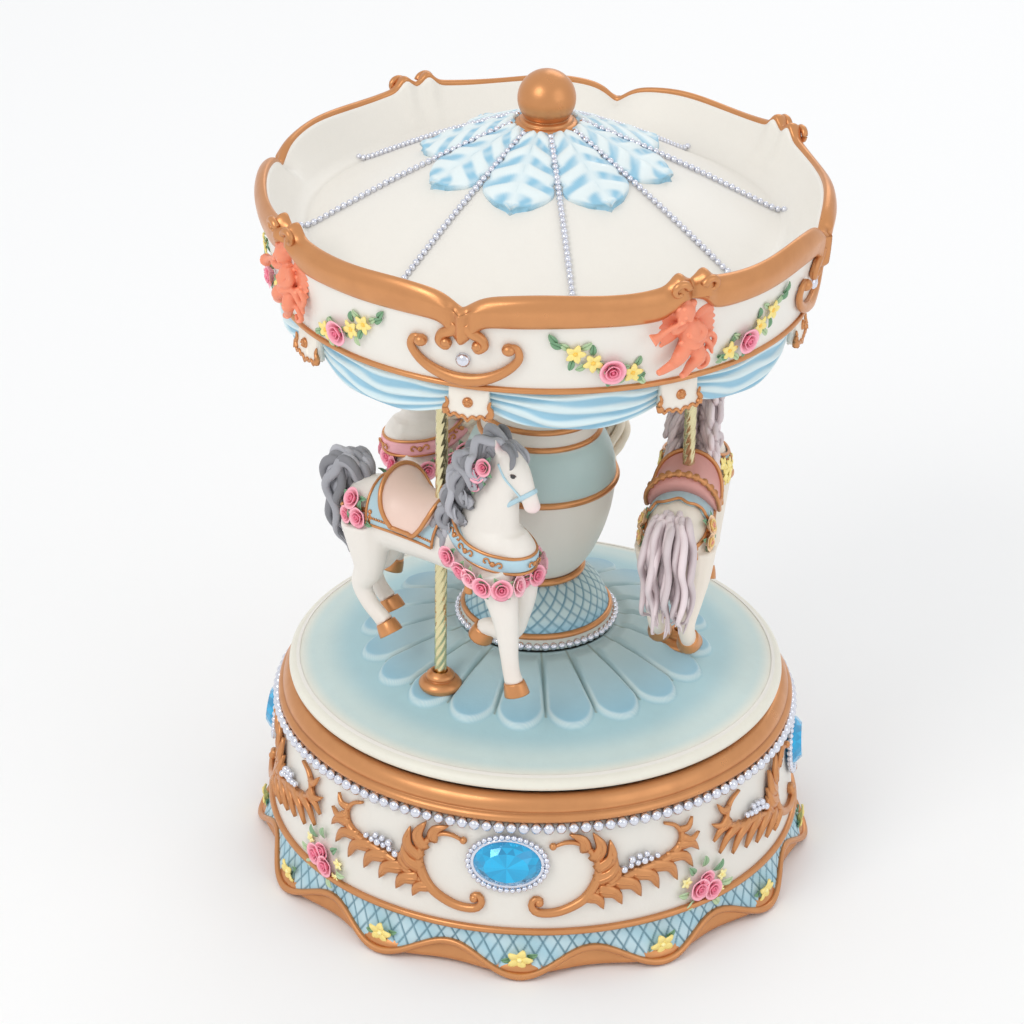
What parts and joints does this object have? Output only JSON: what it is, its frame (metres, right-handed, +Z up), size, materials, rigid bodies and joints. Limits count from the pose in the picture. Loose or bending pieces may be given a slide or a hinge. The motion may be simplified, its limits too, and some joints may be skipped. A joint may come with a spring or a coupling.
{
  "type": "carousel music box",
  "caption": "Wind-up carousel music box: round jewelled base with a spring movement, and a turntable with sliding horses on poles, a pillar and a canopy.",
  "frame": {"origin": "on the floor under the pillar, at the middle of the base", "axes": "+Z up along the turntable's axis; -Y is the front, where one gem of the base faces"},
  "size_m": [0.1472, 0.1472, 0.2175],
  "materials": {
    "white_resin": "satin painted resin",
    "pale_blue_resin": "satin painted resin",
    "gold_paint": "metallic gold paint",
    "cover_felt": "matt felt",
    "foot_rubber": "matt",
    "blue_gem": "faceted clear acrylic with a foiled back",
    "zinc_casting": "tumbled zinc casting",
    "steel": "bright",
    "brass": "bright",
    "nylon": "moulded",
    "pole_brass": "pale twisted brass",
    "horse_resin": "satin painted resin"
  },
  "bodies": {
    "base": {"base_shell": "white_resin", "base_top_ring": "gold_paint", "bottom_cover": "cover_felt", "cover_screw_1": "steel", "cover_screw_2": "steel", "cover_screw_3": "steel", "rubber_foot_1": "foot_rubber", "rubber_foot_2": "foot_rubber", "rubber_foot_3": "foot_rubber", "rubber_foot_4": "foot_rubber", "gem_front": "blue_gem", "gem_right": "blue_gem", "gem_back": "blue_gem", "gem_left": "blue_gem", "bedplate": "zinc_casting", "movement_screw_1": "steel", "movement_screw_2": "steel", "movement_screw_3": "steel", "spring_housing": "zinc_casting", "mainspring": "steel", "cam_track": "nylon", "spindle_bush": "brass", "cylinder_bearing_near": "zinc_casting", "cylinder_bearing_far": "zinc_casting", "governor_bearing": "zinc_casting", "governor_bracket": "zinc_casting", "comb_heel": "zinc_casting", "comb": "steel", "comb_screw_1": "steel", "comb_screw_2": "steel"},
    "turntable": {"platform": "pale_blue_resin", "pole_collar_1": "gold_paint", "pole_collar_2": "gold_paint", "pole_collar_3": "gold_paint", "pillar_foot": "pale_blue_resin", "pillar_vase": "white_resin", "canopy_ceiling": "white_resin", "canopy": "white_resin", "finial": "gold_paint", "crown_wheel": "brass", "spindle": "steel", "tie_rod": "steel", "tie_washer": "steel", "tie_nut": "steel"},
    "cylinder": {"music_cylinder": "brass", "cylinder_pinion": "brass", "cylinder_gear": "brass", "cylinder_arbor": "steel"},
    "governor": {"governor_wheel": "brass"},
    "fly": {"fly_governor": "steel"},
    "key": {"winding_key": "zinc_casting"},
    "horse_1_set": {"pole_1": "pole_brass", "pole_foot_1": "nylon", "horse_1": "horse_resin"},
    "horse_2_set": {"pole_2": "pole_brass", "pole_foot_2": "nylon", "horse_2": "horse_resin"},
    "horse_3_set": {"pole_3": "pole_brass", "pole_foot_3": "nylon", "horse_3": "horse_resin"}
  },
  "joints": [
    {"name": "turntable_spin", "type": "hinge", "parent": "base", "child": "turntable", "pos_m": [0, 0, 0.05], "axis": [0, 0, 1], "continuous": true},
    {"name": "cylinder_spin", "type": "hinge", "parent": "base", "child": "cylinder", "pos_m": [0, 0.026, 0.0294], "axis": [0, 1, 0], "continuous": true},
    {"name": "governor_spin", "type": "hinge", "parent": "base", "child": "governor", "pos_m": [-0.009, 0.041, 0.0294], "axis": [0, 1, 0], "continuous": true},
    {"name": "fly_spin", "type": "hinge", "parent": "base", "child": "fly", "pos_m": [-0.0155, 0.043, 0.0294], "axis": [0, 0, 1], "continuous": true},
    {"name": "key_turn", "type": "hinge", "parent": "base", "child": "key", "pos_m": [0, 0, 0.006], "axis": [0, 0, 1], "continuous": true},
    {"name": "horse_1_rise", "type": "slide", "parent": "turntable", "child": "horse_1_set", "axis": [0, 0, 1], "range_m": [-0.00512, 0.00088]},
    {"name": "horse_2_rise", "type": "slide", "parent": "turntable", "child": "horse_2_set", "axis": [0, 0, 1], "range_m": [-0.0001, 0.0059]},
    {"name": "horse_3_rise", "type": "slide", "parent": "turntable", "child": "horse_3_set", "axis": [0, 0, 1], "range_m": [-0.00378, 0.00222]}
  ],
  "couplings": [
    {"joint": "cylinder_spin", "follows": "turntable_spin", "ratio": 3},
    {"joint": "governor_spin", "follows": "turntable_spin", "ratio": -10.5},
    {"joint": "fly_spin", "follows": "turntable_spin", "ratio": 210}
  ]
}
